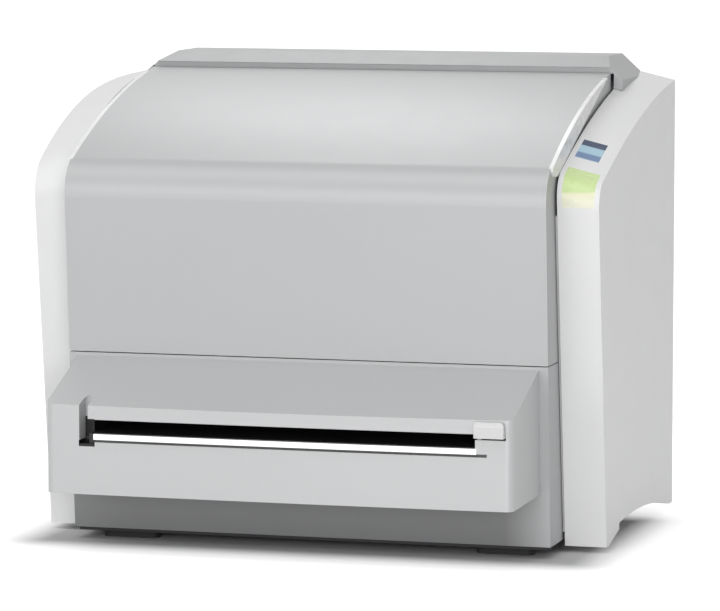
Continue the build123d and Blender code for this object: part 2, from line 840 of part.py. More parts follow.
def drum_shell():
    """Drum that the imaging plate is wrapped round, with a groove for the plate's edge."""
    half = drum_length / 2
    shell = rod_x(drum_y, drum_z, drum_radius, -half, half)
    shell -= rod_x(drum_y, drum_z, cap_inner_radius, -half - 1, half + 1)
    groove_z = drum_z + drum_radius
    return shell - box(-half - 1, half + 1, drum_y - 4, drum_y + 4, groove_z - 1.5, groove_z + 1)


def drum_end_caps():
    """Spoked end caps of the drum."""
    half = drum_length / 2
    cap = rod_x(drum_y, drum_z, cap_inner_radius, half - cap_width, half)
    cap -= rod_x(drum_y, drum_z, drum_shaft_radius, half - cap_width - 1, half + 1)
    for k in range(6):
        angle = math.radians(60 * k)
        y = drum_y + 46 * math.cos(angle)
        z = drum_z + 46 * math.sin(angle)
        cap -= rod_x(y, z, 15, half - cap_width - 1, half + 1)
    return group(both_sides(cap))


def drum_shaft():
    """Through shaft of the drum, long at the pulley's end."""
    return rod_x(drum_y, drum_z, drum_shaft_radius, pulley_x - pulley_width - 2, frame_outer_x + 3)


def pulley(y, z, radius, bore):
    """Flanged belt pulley outside the left frame plate."""
    x0, x1 = pulley_x - pulley_width, pulley_x
    wheel = rod_x(y, z, radius, x0, x1)
    for x in (x0, x1 - pulley_flange):
        wheel += rod_x(y, z, radius + pulley_flange, x, x + pulley_flange)
    return wheel - rod_x(y, z, bore, x0 - 1, x1 + 1)


def drum_pulley():
    """Large pulley on the drum's shaft."""
    return pulley(drum_y, drum_z, drum_pulley_radius, drum_shaft_radius)


def drum_motor_pulley():
    """Small pulley with its motor shaft."""
    wheel = pulley(drum_motor_y, drum_motor_z, motor_pulley_radius, drum_motor_shaft / 2)
    reach = -frame_x + 10
    return wheel + rod_x(drum_motor_y, drum_motor_z, drum_motor_shaft, pulley_x - pulley_width, reach)


def wrapped_face(x, radius_a, radius_b):
    """Face inside a taut loop round the two pulleys."""
    dy, dz = drum_motor_y - drum_y, drum_motor_z - drum_z
    distance = math.hypot(dy, dz)
    along = math.atan2(dz, dy)
    spread = math.acos((radius_a - radius_b) / distance)

    def on_circle(y, z, radius, angle):
        return Vector(x, y + radius * math.cos(angle), z + radius * math.sin(angle))

    a0 = on_circle(drum_y, drum_z, radius_a, along + spread)
    a1 = on_circle(drum_y, drum_z, radius_a, along + math.pi)
    a2 = on_circle(drum_y, drum_z, radius_a, along - spread)
    b0 = on_circle(drum_motor_y, drum_motor_z, radius_b, along - spread)
    b1 = on_circle(drum_motor_y, drum_motor_z, radius_b, along)
    b2 = on_circle(drum_motor_y, drum_motor_z, radius_b, along + spread)
    edges = [Edge.make_three_point_arc(a0, a1, a2), Edge.make_line(a2, b0)]
    edges += [Edge.make_three_point_arc(b0, b1, b2), Edge.make_line(b2, a0)]
    return Face(Wire(edges))


def drum_belt():
    """Flat belt from the motor pulley to the drum pulley."""
    x0 = pulley_x - pulley_width + pulley_flange + slack
    width = Vector(pulley_width - 2 * pulley_flange - 2 * slack, 0, 0)
    inner = slack
    outer = slack + belt_thickness
    loop = Solid.extrude(wrapped_face(x0, drum_pulley_radius + outer, motor_pulley_radius + outer), width)
    return loop - Solid.extrude(
        wrapped_face(x0, drum_pulley_radius + inner, motor_pulley_radius + inner), width)


def motor_can(y, z, radius, shaft, side):
    """Round motor inside a frame plate with a bore for its turning shaft."""
    face_x = side * frame_x
    can = rod_x(y, z, radius, face_x - side * motor_length, face_x)
    return can - rod_x(y, z, shaft + running, face_x - side * 11, face_x + side)


def drum_motor():
    """Motor that turns the drum through the belt."""
    return motor_can(drum_motor_y, drum_motor_z, drum_motor_radius, drum_motor_shaft, -1)


def feed_motor():
    """Motor that turns the feed rollers through the gears."""
    return motor_can(roller_y, feed_motor_z, feed_motor_radius, motor_shaft_radius, 1)


def spur_gear(y, z, teeth, bore, phase):
    """Straight-toothed gear outside the right frame plate, its teeth as trapezoids."""
    pitch = gear_module * teeth / 2
    tip = pitch + 0.95 * gear_module
    root = pitch - 1.2 * gear_module
    step = 2 * math.pi / teeth
    points = []
    for k in range(teeth):
        middle = phase + k * step
        for radius, offset in ((root, -0.32), (tip, -0.13), (tip, 0.13), (root, 0.32)):
            angle = middle + offset * step
            points.append((y + radius * math.cos(angle), z + radius * math.sin(angle)))
    gear = side_prism(points, gear_x, gear_x + gear_width)
    return gear - rod_x(y, z, bore, gear_x - 1, gear_x + gear_width + 1)


def drive_gear():
    """Gear on the drive roller's shaft."""
    return spur_gear(roller_y, drive_z, drive_gear_teeth, drive_shaft_radius, -math.pi / 2)


def feed_pinion():
    """Motor pinion with its shaft."""
    phase = math.pi / 2 + math.pi / pinion_teeth
    gear = spur_gear(roller_y, feed_motor_z, pinion_teeth, motor_shaft_radius / 2, phase)
    return gear + rod_x(roller_y, feed_motor_z, motor_shaft_radius, frame_x - 10, gear_x + gear_width)


def roller_sleeve(z, radius, shaft):
    """Rubber sleeve of a feed roller."""
    half = roller_length / 2
    return rod_x(roller_y, z, radius, -half, half) - rod_x(roller_y, z, shaft, -half - 1, half + 1)


def drive_roller():
    """Lower, driven feed roller."""
    return roller_sleeve(drive_z, drive_roller_radius, drive_shaft_radius)


def drive_roller_shaft():
    """Shaft of the driven roller, long at the gear's end."""
    return rod_x(roller_y, drive_z, drive_shaft_radius, -frame_outer_x - 2, gear_x + gear_width + 0.5)


def pinch_roller():
    """Upper roller that presses the plate down."""
    return roller_sleeve(pinch_z, pinch_roller_radius, pinch_shaft_radius)


def pinch_roller_shaft():
    """Shaft of the pinch roller."""
    return rod_x(roller_y, pinch_z, pinch_shaft_radius, -frame_outer_x - 2, frame_outer_x + 2)


def plate_guide():
    """Sheet that leads the plate from the feed rollers round the drum."""
    radius = drum_radius + guide_gap
    outer = radius + sheet_wall
    middle_angle = (guide_start_angle + guide_end_angle) / 2
    x0 = -frame_x

    def at(r, degrees):
        angle = math.radians(degrees)
        return Vector(x0, drum_y + r * math.cos(angle), drum_z + r * math.sin(angle))

    in0, in1, in2 = [at(radius, a) for a in (guide_start_angle, middle_angle, guide_end_angle)]
    out0, out1, out2 = [at(outer, a) for a in (guide_start_angle, middle_angle, guide_end_angle)]
    edges = [Edge.make_three_point_arc(in0, in1, in2), Edge.make_line(in2, out2)]
    edges += [Edge.make_three_point_arc(out2, out1, out0), Edge.make_line(out0, in0)]
    arc = Solid.extrude(Face(Wire(edges)), Vector(2 * frame_x, 0, 0))
    y, z = guide_entry
    ramp = [(in0.Y, in0.Z), (y, z), (y + sheet_wall * 1.4, z - 0.3), (out0.Y, out0.Z)]
    return arc + side_prism(ramp, -frame_x, frame_x)


def carriage_rails():
    """Two ground rods that the scan carriage runs on."""
    rails = [rod_x(rail_y, z, rail_radius, -frame_x, frame_x) for z in (lower_rail_z, upper_rail_z)]
    return group(rails)


def rail_blocks():
    """Blocks on the frame plates that hold the rails' ends."""
    blocks = []
    h = rail_block / 2
    for z in (lower_rail_z, upper_rail_z):
        block = box(frame_x - rail_block_length, frame_x, rail_y - h, rail_y + h, z - h, z + h)
        block -= rod_x(rail_y, z, rail_radius + running, frame_x - rail_block_length - 1, frame_x + 1)
        blocks += both_sides(block)
    return group(blocks)


def scan_carriage():
    """Carriage block on the rails, with the lead screw's nut."""
    w, h = carriage_width / 2, carriage_height / 2
    middle_z = (lower_rail_z + upper_rail_z) / 2
    y0, y1 = rail_y - carriage_depth / 2, rail_y + carriage_depth / 2
    block = box(-w, w, y0, y1, middle_z - h, middle_z + h)
    for z, radius in ((lower_rail_z, rail_radius), (upper_rail_z, rail_radius), (screw_z, screw_radius)):
        block -= rod_x(rail_y, z, radius + running, -w - 1, w + 1)
    return block


def optics_housing():
    """Laser and mirror housing on the carriage's front."""
    w = optics_width / 2
    y1 = rail_y - carriage_depth / 2
    housing = box(-w, w, y1 - optics_depth, y1, optics_bottom_z, optics_top_z)
    return chamfer(housing.edges().group_by(Axis.Y)[0], 4)


def light_collector():
    """Wedge of acrylic that gathers the plate's light, its nose close to the drum."""
    w = optics_width / 2
    y0 = rail_y + carriage_depth / 2
    y1 = y0 + collector_reach
    nose = collector_nose / 2
    points = [(y0, drum_z - collector_below), (y1, drum_z - nose), (y1, drum_z + nose)]
    points.append((y0, drum_z + collector_above))
    return side_prism(points, -w, w)


def photomultiplier():
    """Photomultiplier tube across the carriage's top."""
    top = (lower_rail_z + upper_rail_z + carriage_height) / 2
    z = top + tube_radius
    half = tube_length / 2
    tube = rod_x(rail_y, z, tube_radius, -half, half)
    saddle = box(-half + 8, half - 8, rail_y - 9, rail_y + 9, top, z)
    return tube + saddle


def lead_screw():
    """Lead screw with a thin end that enters its motor."""
    screw = rod_x(rail_y, screw_z, screw_radius, -frame_outer_x - 1, frame_outer_x - slack)
    return screw + rod_x(rail_y, screw_z, motor_shaft_radius, frame_outer_x - 1, frame_outer_x + 11)


def screw_motor():
    """Square stepper motor of the lead screw, outside the right frame plate."""
    h = screw_motor_side / 2
    x0 = frame_outer_x + 1
    motor = box(x0, x0 + screw_motor_length, rail_y - h, rail_y + h, screw_z - h, screw_z + h)
    motor = chamfer(motor.edges().filter_by(Axis.X), 3)
    return motor - rod_x(rail_y, screw_z, motor_shaft_radius + running, x0 - 1, x0 + 12)


def eraser_housing():
    """Reflector trough of the eraser, open towards the drum, with solid ends."""
    z0, z1 = eraser_bottom_z, eraser_bottom_z + eraser_height
    trough = box(-frame_x, frame_x, eraser_y, eraser_y + eraser_depth, z0, z1)
    wall = moulding_wall
    inner = box(-eraser_end_x, eraser_end_x, eraser_y - 1, eraser_y + eraser_depth - wall, z0 + wall, z1 - wall)
    return trough - inner


def eraser_lamps():
    """Two lamp tubes in the eraser's trough."""
    lamps = []
    for z in (eraser_bottom_z + lamp_inset, eraser_bottom_z + eraser_height - lamp_inset):
        lamps.append(rod_x(eraser_y + eraser_depth / 2, z, lamp_radius, -eraser_end_x, eraser_end_x))
    return group(lamps)


def cover_space(inset, bottom):
    """Volume of the rear cover with its sloped front and chamfered ends, set in by a wall."""
    flat_z = top_z - inset
    rise = (top_z - cover_front_z) / (cover_flat_y - cover_front_y)
    front = cover_front_y + inset
    front_z = cover_front_z + rise * inset - inset
    points = [(front, bottom), (front, front_z), (cover_flat_y + inset * rise, flat_z)]
    points += [(rear_y - inset, flat_z), (rear_y - inset, bottom)]
    side = side_prism(points, -half_width, half_width)
    slope = cover_end_drop / cover_end_run
    corner = inset * math.tan(math.atan(slope) / 2)
    flat, wide = cover_flat_half_width - corner, cover_half_width - inset
    shoulder = flat_z - slope * (wide - flat)
    ends = [(-wide, bottom), (-wide, shoulder), (-flat, flat_z)]
    ends += [(flat, flat_z), (wide, shoulder), (wide, bottom)]
    return side & front_prism(ends, 0, half_width)


def rear_top_cover():
    """Grey rear cover: a lip over its set-back front, flat top, ends falling over the panels."""
    y0 = cover_front_y
    y1 = y0 + cover_recess
    y2 = y1 + cover_wall
    low_z = cover_bottom_z - 1
    hollow = cover_space(cover_wall, low_z) & box(-half_width, half_width, y2, rear_y, 0, top_z)
    shell = cover_space(0, cover_bottom_z) - hollow
    shell -= box(-panel_inner_x, panel_inner_x, y0 - 1, y1, low_z, cover_front_z)
    shell -= box(-panel_inner_x, panel_inner_x, y0 - 1, y2, low_z, cover_under_z)
    edge_x = panel_inner_x - slack
    for shoulder, crown, side in ((right_shoulder, right_crown, 1), (left_shoulder, left_crown, -1)):
        under = panel_region(shoulder, crown, -slack, edge_x, half_width + slack)
        shell -= under if side > 0 else under.mirror(Plane.YZ)
    h = cover_pad / 2
    pad = box(frame_x - h, frame_x + h, cover_pad_y - 2 * h, cover_pad_y + 2 * h,
              pan_top_z + frame_top_height + slack, top_z - cover_wall + 0.5)
    pad &= cover_space(cover_wall / 2, cover_bottom_z)
    for shape in both_sides(pad):
        shell += shape
    return shell


def rear_panel():
    """Rear sheet with vents, the fan's grille, cut-outs and the board's standoffs."""
    y0, y1 = rear_sheet_y, rear_sheet_y + rear_sheet_wall
    panel = box(-pan_half_width, pan_half_width, y0, y1, foot_height, rear_sheet_top_z)
    for row in range(vent_rows):
        z = vent_bottom_z + vent_pitch * row
        for x in vent_columns:
            panel -= box(x - vent_length / 2, x + vent_length / 2, y0 - 1, y1 + 1, z, z + vent_height)
    rows = 4
    for row in range(-rows, rows + 1):
        z = row * fan_bore_radius / (rows + 0.8)
        half = math.sqrt(fan_bore_radius ** 2 - z ** 2) - 3
        slot_z = fan_z + z
        panel -= box(fan_x - half, fan_x + half, y0 - 1, y1 + 1, slot_z - 2.2, slot_z + 2.2)
    for x, z, w, h in rear_cutouts():
        panel -= box(x - w / 2, x + w / 2, y0 - 1, y1 + 1, z - h / 2, z + h / 2)
    for x, z in board_corners():
        panel += rod_y(x, z, 4, y0 - standoff, y0 + 1)
    return panel


def rear_cutouts():
    """Middle and size of each rectangular hole in the rear sheet."""
    return [
        (inlet_x, inlet_z, inlet_width + 2 * running, inlet_height + 2 * running),
        (switch_x, inlet_z, switch_width + 2 * running, switch_height + 2 * running),
        (port_x, port_z, port_width + 1, port_height + 1),
    ]


def board_corners():
    """Places of the main board's four standoffs."""
    x = board_width / 2 - standoff_inset
    low, high = board_bottom_z + standoff_rise, board_top_z - standoff_inset
    return [(s * x, z) for s in (-1, 1) for z in (low, high)]


def main_board():
    """Main board with its processor, memory and connector blocks."""
    y1 = rear_sheet_y - standoff
    y0 = y1 - board_wall
    board = box(-board_width / 2, board_width / 2, y0, y1, board_bottom_z, board_top_z)
    for x, z, w, h, thick in board_blocks:
        board += box(x - w / 2, x + w / 2, y0 - thick, y0, z - h / 2, z + h / 2)
    return board


def data_ports():
    """Block of data sockets that shows through the rear sheet."""
    y1 = rear_sheet_y + rear_sheet_wall + 0.5
    w, h = port_width / 2, port_height / 2
    top = board_bottom_z + 3
    block = box(port_x - w, port_x + w, y1 - port_depth, y1, port_z - h, port_z + h)
    block += box(port_x - w, port_x + w, rear_sheet_y - standoff, rear_sheet_y - 1, port_z + h - 1, top)
    for x in (-w + 10, 0, w - 10):
        block -= box(port_x + x - 7, port_x + x + 7, y1 - 10, y1 + 1, port_z - 5.5, port_z + 5.5)
    return block


def flanged_body(x, z, width, height, depth):
    """Snap-in body through the rear sheet with a flange outside it."""
    y0 = rear_sheet_y + rear_sheet_wall
    w, h, f = width / 2, height / 2, flange_overlap
    body = box(x - w, x + w, y0 - depth, y0, z - h, z + h)
    return body + box(x - w - f, x + w + f, y0, y0 + flange_wall, z - h - f, z + h + f)


def power_inlet():
    """Mains inlet with three pins."""
    body = flanged_body(inlet_x, inlet_z, inlet_width, inlet_height, inlet_depth)
    w, h = inlet_width / 2 - 2, inlet_height / 2 - 2
    y1 = rear_sheet_y + rear_sheet_wall + flange_wall
    y0 = y1 - 16
    body -= box(inlet_x - w, inlet_x + w, y0, y1 + 1, inlet_z - h, inlet_z + h)
    for x, z in ((-7, -2), (0, 2), (7, -2)):
        body += box(inlet_x + x - 1, inlet_x + x + 1, y0 - 1, y0 + 13, inlet_z + z - 2, inlet_z + z + 2)
    return body


def switch_body():
    """Frame of the mains switch."""
    body = flanged_body(switch_x, inlet_z, switch_width, switch_height, inlet_depth)
    w, h = switch_width / 2 - 2, switch_height / 2 - 1.5
    y1 = rear_sheet_y + rear_sheet_wall + flange_wall
    return body - box(switch_x - w, switch_x + w, y1 - 12, y1 + 1, inlet_z - h, inlet_z + h)


def power_rocker():
    """Rocker of the mains switch, turned on its pivot to one side."""
    y1 = rear_sheet_y + rear_sheet_wall + flange_wall
    w, h = switch_width / 2 - 3.1, switch_height / 2 - 1.5 - slack
    pivot_y = y1 - 5
    tilt = math.tan(math.radians(rocker_angle))
    top = y1 + 0.6
    points = [(-w, top - w * tilt), (0, top - 1.6), (w, top - w * tilt + 1.2), (w - 1, pivot_y), (1 - w, pivot_y)]
    corners = [Vector(switch_x + x, y, inlet_z - h) for x, y in points]
    paddle = Solid.extrude(Face(Wire.make_polygon(corners, close=True)), Vector(0, 0, 2 * h))
    pivot = Pos(switch_x, pivot_y, inlet_z) * Cylinder(2, 2 * h)
    return paddle + pivot


def fan_frame():
    """Square fan frame with struts and the rotor's pin."""
    y0, y1 = rear_sheet_y - fan_depth, rear_sheet_y
    h = fan_side / 2
    frame = box(fan_x - h, fan_x + h, y0, y1, fan_z - h, fan_z + h)
    frame -= rod_y(fan_x, fan_z, fan_bore_radius, y0 - 1, y1 + 1)
    strut_y = y1 - 4
    for angle in (45, 135):
        strut = Box(2 * fan_bore_radius + 1, 4, 4)
        frame += Pos(fan_x, y1 - 2, fan_z) * Rot(0, angle, 0) * strut
    frame += rod_y(fan_x, fan_z, fan_hub_radius, strut_y, y1)
    return frame + rod_y(fan_x, fan_z, fan_shaft_radius, y0 + 3, strut_y + 1)


def fan_rotor():
    """Fan hub with pitched blades."""
    y1 = rear_sheet_y - 4 - slack
    y0 = rear_sheet_y - fan_depth + 1
    rotor = rod_y(fan_x, fan_z, fan_hub_radius, y0, y1)
    reach = fan_bore_radius - 1.5
    length = reach - fan_hub_radius + 3
    for k in range(fan_blades):
        blade = Box(length, blade_width, blade_thickness)
        blade = Pos(reach - length / 2, 0, 0) * Rot(35, 0, 0) * blade
        place = Pos(fan_x, (y0 + y1) / 2, fan_z) * Rot(0, 360 * k / fan_blades, 0)
        rotor += place * blade
    return rotor - rod_y(fan_x, fan_z, fan_shaft_radius + running, y0 + 2 - slack, y1 + 1)


def power_supply():
    """Power supply case with vent slots in its lid."""
    x1, y1 = supply_x + supply_width, supply_y + supply_length
    z1 = pan_top_z + supply_height
    case = box(supply_x, x1, supply_y, y1, pan_top_z, z1)
    for k in range(8):
        x = supply_x + 20 + 19 * k
        case -= box(x, x + 6, supply_y + 20, y1 - 20, z1 - 2, z1 + 1)
    return case


def right_frame_plate():
    """Right frame plate."""
    holes = bearing_holes() + [(roller_y, feed_motor_z, motor_shaft_radius + 2)]
    return frame_plate(holes)


def left_frame_plate():
    """Left frame plate."""
    holes = bearing_holes() + [(drum_motor_y, drum_motor_z, drum_motor_shaft + 2)]
    return frame_plate(holes).mirror(Plane.YZ)


def right_side_panel():
    """Right panel with pockets for the display and the status light."""
    return side_panel(right_shoulder, right_crown) - display_window() - status_light()


def left_side_panel():
    """Left panel, rounder at its shoulder."""
    return side_panel(left_shoulder, left_crown).mirror(Plane.YZ)


nodes = {
    "base_pan": base_pan,
    "rubber_feet": rubber_feet,
    "left_frame_plate": left_frame_plate,
    "right_frame_plate": right_frame_plate,
    "frame_tie_bars": frame_tie_bars,
    "left_side_panel": left_side_panel,
    "right_side_panel": right_side_panel,
    "display_window": display_window,
    "status_light": status_light,
    "front_fascia": front_fascia,
    "cassette_bezel": cassette_bezel,
    "slot_lip": slot_lip,
    "throat_floor": throat_floor,
    "throat_roof": throat_roof,
    "guide_rod": guide_rod,
    "cassette_guide": cassette_guide,
    "hood": hood_shell,
    "hood_end_trims": hood_end_trims,
    "hood_hinge_arms": hood_hinge_arms,
    "hinge_brackets": hinge_brackets,
    "hinge_pins": hinge_pins,
    "rear_top_cover": rear_top_cover,
    "rear_panel": rear_panel,
    "drum_bearings": drum_bearings,
    "roller_bushes": roller_bushes,
    "screw_bushes": screw_bushes,
    "drum_shell": drum_shell,
    "drum_end_caps": drum_end_caps,
    "drum_shaft": drum_shaft,
    "drum_pulley": drum_pulley,
    "drum_belt": drum_belt,
    "drum_motor": drum_motor,
    "drum_motor_pulley": drum_motor_pulley,
    "drive_roller": drive_roller,
    "drive_roller_shaft": drive_roller_shaft,
    "drive_gear": drive_gear,
    "feed_pinion": feed_pinion,
    "feed_motor": feed_motor,
    "pinch_roller": pinch_roller,
    "pinch_roller_shaft": pinch_roller_shaft,
    "plate_guide": plate_guide,
    "carriage_rails": carriage_rails,
    "rail_blocks": rail_blocks,
    "scan_carriage": scan_carriage,
    "optics_housing": optics_housing,
    "light_collector": light_collector,
    "photomultiplier": photomultiplier,
    "lead_screw": lead_screw,
    "screw_motor": screw_motor,
    "eraser_housing": eraser_housing,
    "eraser_lamps": eraser_lamps,
    "main_board": main_board,
    "data_ports": data_ports,
    "power_supply": power_supply,
    "power_inlet": power_inlet,
    "switch_body": switch_body,
    "power_rocker": power_rocker,
    "fan_frame": fan_frame,
    "fan_rotor": fan_rotor,
}


def centred(shape):
    """A node moved back so that the reader's outer box is centred over the origin."""
    solids = [Pos(0, centre_shift, 0) * solid for solid in shape.solids()]
    return solids[0] if len(solids) == 1 else Compound(children=solids)


os.makedirs("parts", exist_ok=True)
for name, make in nodes.items():
    export_step(centred(make()), f"parts/{name}.step")
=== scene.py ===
import math

import bmesh
import bpy
from mathutils import Matrix, Vector


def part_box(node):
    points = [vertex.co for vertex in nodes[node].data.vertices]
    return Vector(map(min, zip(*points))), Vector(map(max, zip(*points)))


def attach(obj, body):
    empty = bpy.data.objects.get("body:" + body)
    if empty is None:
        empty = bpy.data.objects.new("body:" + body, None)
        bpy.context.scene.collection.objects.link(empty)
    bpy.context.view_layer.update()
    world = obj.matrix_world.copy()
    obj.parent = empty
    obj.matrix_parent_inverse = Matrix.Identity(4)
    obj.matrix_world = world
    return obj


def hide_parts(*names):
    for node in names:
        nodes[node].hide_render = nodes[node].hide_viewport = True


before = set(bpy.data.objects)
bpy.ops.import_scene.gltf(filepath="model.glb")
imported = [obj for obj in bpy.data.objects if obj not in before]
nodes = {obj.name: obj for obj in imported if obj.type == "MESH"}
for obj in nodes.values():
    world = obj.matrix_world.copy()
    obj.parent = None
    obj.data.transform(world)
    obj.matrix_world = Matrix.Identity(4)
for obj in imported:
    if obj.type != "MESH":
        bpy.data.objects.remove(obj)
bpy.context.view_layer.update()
scene = bpy.context.scene
corners = ((-1, -1), (1, -1), (1, 1), (-1, 1))


# Node building blocks


def empty_material(name):
    """A material whose node tree holds only its output."""
    material = bpy.data.materials.new(name)
    material.use_nodes = True
    tree = material.node_tree
    tree.nodes.clear()
    return material, tree, tree.nodes.new("ShaderNodeOutputMaterial")


def new_shader(name):
    """A material with one shader on its output."""
    material, tree, output = empty_material(name)
    shader = tree.nodes.new("ShaderNodeBsdfPrincipled")
    tree.links.new(shader.outputs["BSDF"], output.inputs["Surface"])
    return material, tree, shader


def place(tree, stretch=(1, 1, 1)):
    """Object coordinates, which are metres in the reader's own frame."""
    coordinates = tree.nodes.new("ShaderNodeTexCoord")
    mapping = tree.nodes.new("ShaderNodeMapping")
    mapping.inputs["Scale"].default_value = stretch
    tree.links.new(coordinates.outputs["Object"], mapping.inputs["Vector"])
    return mapping.outputs["Vector"]


def axes(tree, vector):
    """The X, Y and Z of a vector."""
    apart = tree.nodes.new("ShaderNodeSeparateXYZ")
    tree.links.new(vector, apart.inputs["Vector"])
    return apart.outputs


def calculate(tree, operation, first, second):
    """One step of arithmetic, where the second value is a number or comes from a node."""
    node = tree.nodes.new("ShaderNodeMath")
    node.operation = operation
    tree.links.new(first, node.inputs[0])
    if isinstance(second, (int, float)):
        node.inputs[1].default_value = second
    else:
        tree.links.new(second, node.inputs[1])
    return node.outputs["Value"]


def noise(tree, vector, scale, detail=3.0):
    node = tree.nodes.new("ShaderNodeTexNoise")
    node.inputs["Scale"].default_value = scale
    node.inputs["Detail"].default_value = detail
    tree.links.new(vector, node.inputs["Vector"])
    return node.outputs["Fac"]


def spread(tree, value, low, high, start=0.3, end=0.7):
    """A value's range from start to end, laid over the range from low to high."""
    node = tree.nodes.new("ShaderNodeMapRange")
    node.inputs["From Min"].default_value = start
    node.inputs["From Max"].default_value = end
    node.inputs["To Min"].default_value = low
    node.inputs["To Max"].default_value = high
    tree.links.new(value, node.inputs["Value"])
    return node.outputs["Result"]


def blend_colours(tree, factor, first, second):
    """A mix of two colours, each written out or from a node."""
    node = tree.nodes.new("ShaderNodeMix")
    node.data_type = "RGBA"
    for socket, colour in (("A", first), ("B", second)):
        entry = [i for i in node.inputs if i.name == socket and i.type == "RGBA"][0]
        if isinstance(colour, tuple):
            entry.default_value = (*colour, 1)
        else:
            tree.links.new(colour, entry)
    tree.links.new(factor, node.inputs["Factor"])
    return [o for o in node.outputs if o.type == "RGBA"][0]


def colour_ramp(tree, value, stops, interpolation="LINEAR"):
    """Colours along a value, from (position, colour) pairs in order."""
    node = tree.nodes.new("ShaderNodeValToRGB")
    node.color_ramp.interpolation = interpolation
    elements = node.color_ramp.elements
    for element, (position, colour) in zip(elements, (stops[0], stops[-1])):
        element.position, element.color = position, (*colour, 1)
    for position, colour in stops[1:-1]:
        elements.new(position).color = (*colour, 1)
    tree.links.new(value, node.inputs["Fac"])
    return node.outputs["Color"]


def shade(colour, share):
    return tuple(min(1.0, c * share) for c in colour)


def inside(tree, vector, low, high):
    """1 inside a box of object coordinates and 0 outside, where None leaves a side open."""
    sides = axes(tree, vector)
    factor = None
    for axis, bounds in zip("XYZ", zip(low, high)):
        for operation, bound in zip(("GREATER_THAN", "LESS_THAN"), bounds):
            if bound is None:
                continue
            test = calculate(tree, operation, sides[axis], bound)
            factor = test if factor is None else calculate(tree, "MULTIPLY", factor, test)
    return factor


# Surfaces


def surface(name, colour, rough, metallic, mottle, mottle_scale, rough_spread, grain_scale, grain,
            stretch=(1, 1, 1), coat=0.0, speckle=0.0, patches=()):
    """A moulded, painted or machined surface: faint mottling, uneven gloss and a fine grain.

    speckle is how strongly the flakes of a metallic paint show. patches are boxes of object
    coordinates that have another colour, as (low, high, colour).
    """
    flake_scale, flake_share = 2600.0, 1.35
    gloss_scale = mottle_scale * 9
    grain_strength, coat_rough = 0.35, 0.12
    material, tree, shader = new_shader(name)
    vector = place(tree, stretch)
    wide = noise(tree, vector, mottle_scale, 2.0)
    tone = blend_colours(tree, spread(tree, wide, 0, 1), shade(colour, 1 - mottle), shade(colour, 1 + mottle))
    if speckle:
        flakes = tree.nodes.new("ShaderNodeTexVoronoi")
        flakes.inputs["Scale"].default_value = flake_scale
        tree.links.new(vector, flakes.inputs["Vector"])
        apart = tree.nodes.new("ShaderNodeSeparateColor")
        tree.links.new(flakes.outputs["Color"], apart.inputs["Color"])
        share = spread(tree, apart.outputs["Red"], 0, speckle, 0.0, 1.0)
        tone = blend_colours(tree, share, tone, shade(colour, flake_share))
    for low, high, patch in patches:
        tone = blend_colours(tree, inside(tree, vector, low, high), tone, patch)
    tree.links.new(tone, shader.inputs["Base Color"])
    uneven = noise(tree, vector, gloss_scale, 3.0)
    gloss = spread(tree, uneven, rough - rough_spread, rough + rough_spread)
    tree.links.new(gloss, shader.inputs["Roughness"])
    shader.inputs["Metallic"].default_value = metallic
    shader.inputs["Coat Weight"].default_value = coat
    shader.inputs["Coat Roughness"].default_value = coat_rough
    bump = tree.nodes.new("ShaderNodeBump")
    bump.inputs["Strength"].default_value = grain_strength
    bump.inputs["Distance"].default_value = grain
    tree.links.new(noise(tree, vector, grain_scale, 2.0), bump.inputs["Height"])
    tree.links.new(bump.outputs["Normal"], shader.inputs["Normal"])
    return material


def silver_paint(name, tone, metallic, patches=()):
    """The metallic paint of the hood, the bezel and the base."""
    return surface(name, tone, 0.42, metallic, 0.010, 4.0, 0.008, 1800.0, 0.00002,
                   speckle=0.10, patches=patches)


def black_fitting(name, rough, grain, patches=()):
    """The black plastic of the rear fittings."""
    return surface(name, fitting_black, rough, 0.0, 0.12, 25.0, 0.07, 1100.0, grain, patches=patches)


def zinc_sheet(name, patches=()):
    """Zinc-coated sheet steel."""
    return surface(name, (0.58, 0.59, 0.61), 0.42, 0.9, 0.08, 55.0, 0.08, 700.0, 0.00002, patches=patches)


def paint_shade_under_bezel(material, colour, heights, ends):
    """Painted shade on the base below the bezel: a darker colour, fading out upwards and towards the right
    end.
    """
    tree = material.node_tree
    socket = [n for n in tree.nodes if n.type == "BSDF_PRINCIPLED"][0].inputs["Base Color"]
    sides = axes(tree, place(tree))
    low_down = spread(tree, sides["Z"], 1, 0, *heights)
    away_from_end = spread(tree, sides["X"], 1, 0, *ends)
    factor = calculate(tree, "MULTIPLY", low_down, away_from_end)
    tone = blend_colours(tree, factor, socket.links[0].from_socket, colour)
    tree.links.new(tone, socket)


def display_surface():
    """A small lit screen: dark bar at its far end, pale field, steel-blue bar at its near end."""
    material, tree, shader = new_shader("display_surface")
    vector = place(tree)
    low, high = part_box("display_window")
    along = spread(tree, axes(tree, vector)["Y"], 0, 1, low.y, high.y)
    bands = colour_ramp(tree, along, [
        (0.0, (0.50, 0.62, 0.74)), (0.03, (0.16, 0.25, 0.42)), (0.30, (0.30, 0.50, 0.66)),
        (0.34, (0.42, 0.62, 0.74)), (0.66, (0.36, 0.55, 0.68)), (0.70, (0.03, 0.05, 0.11)),
    ], "CONSTANT")
    cells = noise(tree, vector, 700.0, 1.0)
    lit = blend_colours(tree, spread(tree, cells, 0.0, 0.06), bands, (0.75, 0.85, 0.95))
    unlit = blend_colours(tree, spread(tree, cells, 0.55, 0.65), lit, (0.01, 0.012, 0.02))
    tree.links.new(unlit, shader.inputs["Base Color"])
    tree.links.new(lit, shader.inputs["Emission Color"])
    shader.inputs["Emission Strength"].default_value = 0.5
    tree.links.new(spread(tree, noise(tree, vector, 60.0), 0.36, 0.44), shader.inputs["Roughness"])
    shader.inputs["Specular IOR Level"].default_value = 0.2
    return material


